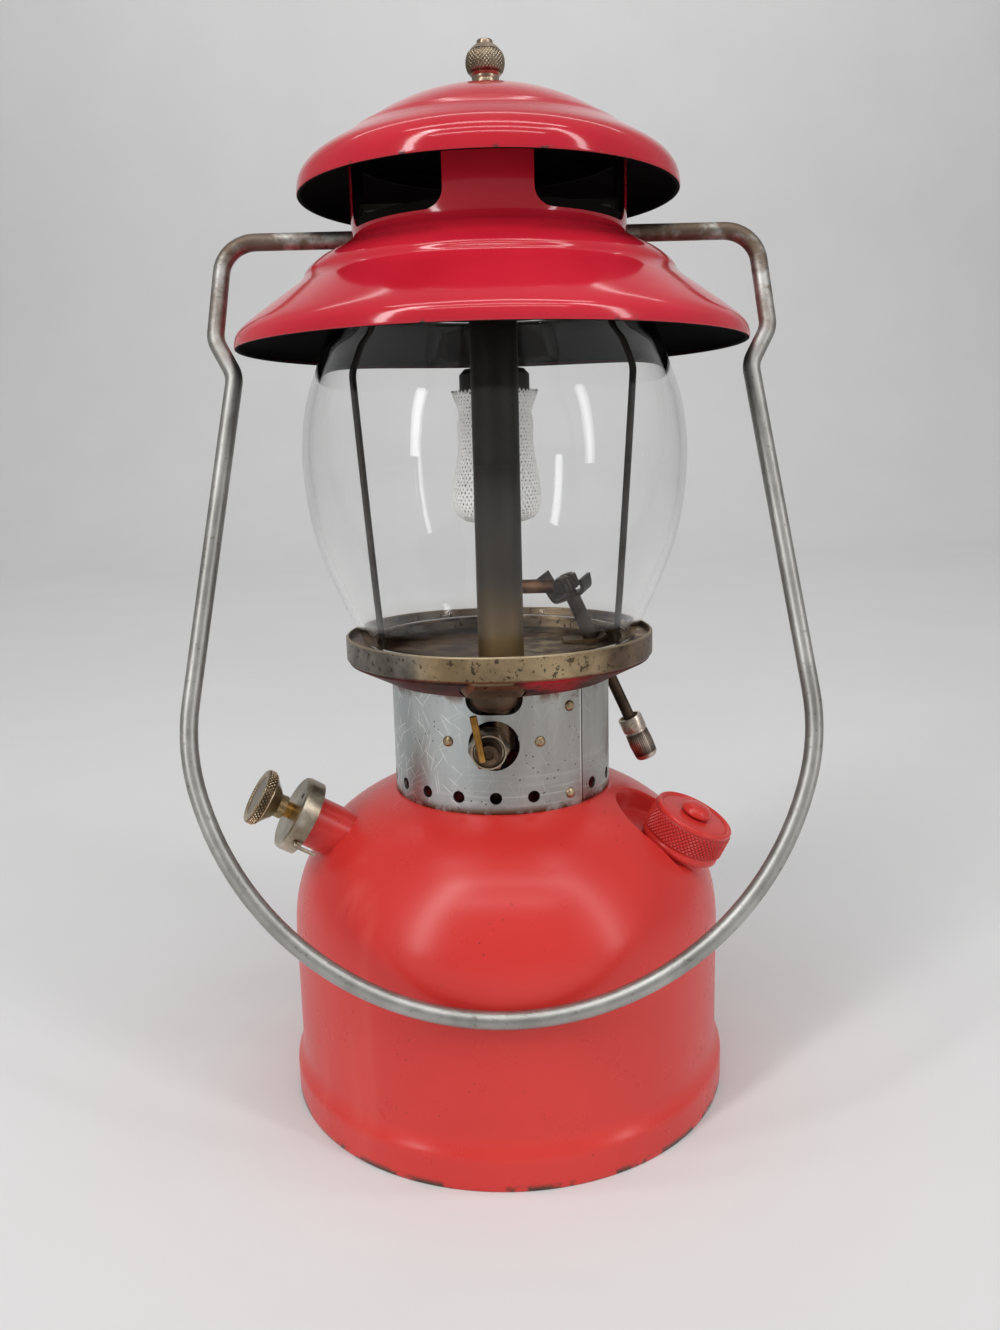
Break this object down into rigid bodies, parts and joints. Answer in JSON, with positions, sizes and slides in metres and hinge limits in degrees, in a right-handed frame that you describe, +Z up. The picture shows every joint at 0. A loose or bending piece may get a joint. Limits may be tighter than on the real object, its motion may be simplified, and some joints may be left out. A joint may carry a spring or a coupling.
{
  "type": "pressure mantle lantern",
  "caption": "Table-standing pressure lantern with a pumped fuel tank, glass globe over a mantle, red ventilator hood and swinging wire bail.",
  "frame": {"origin": "centre of the base ring on the table", "axes": "+Z up along the lantern axis, -Y towards the valve, +X to the right seen from the valve side"},
  "size_m": [0.1788, 0.1512, 0.318],
  "materials": {
    "fount_paint": "worn semi-gloss orange-red paint",
    "vent_enamel": "glossy red enamel, black underside",
    "collar_steel": "scratched plated band",
    "frame_steel": "tarnished brown plated steel",
    "dark_steel": "heat-blackened steel",
    "bail_steel": "dull grey wire, rusty at the ends",
    "brass": "aged brass",
    "nickel": "worn nickel plate over brass",
    "copper": "tarnished copper",
    "glass": "clear glass",
    "mantle_cloth": "white mesh cloth",
    "gasket": "black rubber",
    "leather": "oiled leather"
  },
  "bodies": {
    "lantern": {"fount_shell": "fount_paint", "fount_bottom": "fount_paint", "filler_neck": "fount_paint", "pump_tube": "fount_paint", "pump_cap": "nickel", "pump_clip": "nickel", "check_valve": "brass", "fuel_tube": "brass", "valve_boss": "brass", "valve_body": "brass", "packing_nut": "nickel", "collar_band": "collar_steel", "collar_rivets": "brass", "frame_ring": "frame_steel", "frame_base": "frame_steel", "tube_cup": "dark_steel", "frame_wires": "dark_steel", "frame_bridge": "dark_steel", "centre_stud": "bail_steel", "air_tube": "dark_steel", "generator": "brass", "jet_tip": "brass", "manifold": "dark_steel", "burner_cap": "dark_steel", "mantle": "mantle_cloth", "globe": "glass", "ventilator_skirt": "vent_enamel", "ventilator_cap": "vent_enamel", "lighter_bracket": "dark_steel", "flint_tube": "copper"},
    "bail": {"bail": "bail_steel"},
    "pump_stem": {"air_stem": "brass"},
    "plunger": {"pump_rod": "brass", "pump_knob": "nickel", "pump_leather": "leather", "pump_nut": "brass"},
    "filler_plug": {"filler_insert": "brass", "filler_gasket": "gasket", "filler_screw": "fount_paint"},
    "filler_cap": {"filler_cap": "fount_paint"},
    "valve": {"valve_stem": "nickel", "valve_lever": "brass"},
    "lighter": {"lighter_rod": "nickel", "lighter_knob": "nickel", "lighter_set_screw": "nickel", "striker_wheel": "dark_steel"},
    "ball_nut": {"ball_nut": "nickel"}
  },
  "joints": [
    {"name": "bail_swing", "type": "hinge", "parent": "lantern", "child": "bail", "pos_m": [0, 0, 0.26503], "axis": [-1, 0, 0], "range_deg": [0, 322.8]},
    {"name": "pump_turn", "type": "hinge", "parent": "lantern", "child": "pump_stem", "pos_m": [-0.07545, -0.02092, 0.10174], "axis": [-0.8172, -0.2266, 0.5299], "range_deg": [0, 360]},
    {"name": "pump_stroke", "type": "slide", "parent": "pump_stem", "child": "plunger", "axis": [-0.8172, -0.2266, 0.5299], "range_m": [0, 0.075]},
    {"name": "filler_lift", "type": "slide", "parent": "lantern", "child": "filler_plug", "axis": [0.4152, -0.1405, 0.8988], "range_m": [0, 0.0045]},
    {"name": "filler_turn", "type": "hinge", "parent": "filler_plug", "child": "filler_cap", "pos_m": [0.05911, -0.02001, 0.09201], "axis": [0.4152, -0.1405, 0.8988], "range_deg": [0, 1081]},
    {"name": "valve_turn", "type": "hinge", "parent": "lantern", "child": "valve", "pos_m": [-0.0038, -0.04, 0.11903], "axis": [0, -1, 0], "range_deg": [0, 180]},
    {"name": "lighter_spin", "type": "hinge", "parent": "lantern", "child": "lighter", "pos_m": [0.0229, 0.014, 0.15943], "axis": [-0.4067, 0, 0.9135], "continuous": true},
    {"name": "nut_turn", "type": "hinge", "parent": "lantern", "child": "ball_nut", "pos_m": [0, 0, 0.305], "axis": [0, 0, 1], "continuous": true}
  ],
  "couplings": [
    {"joint": "filler_turn", "follows": "filler_lift", "rad_per_m": 4188.8}
  ]
}
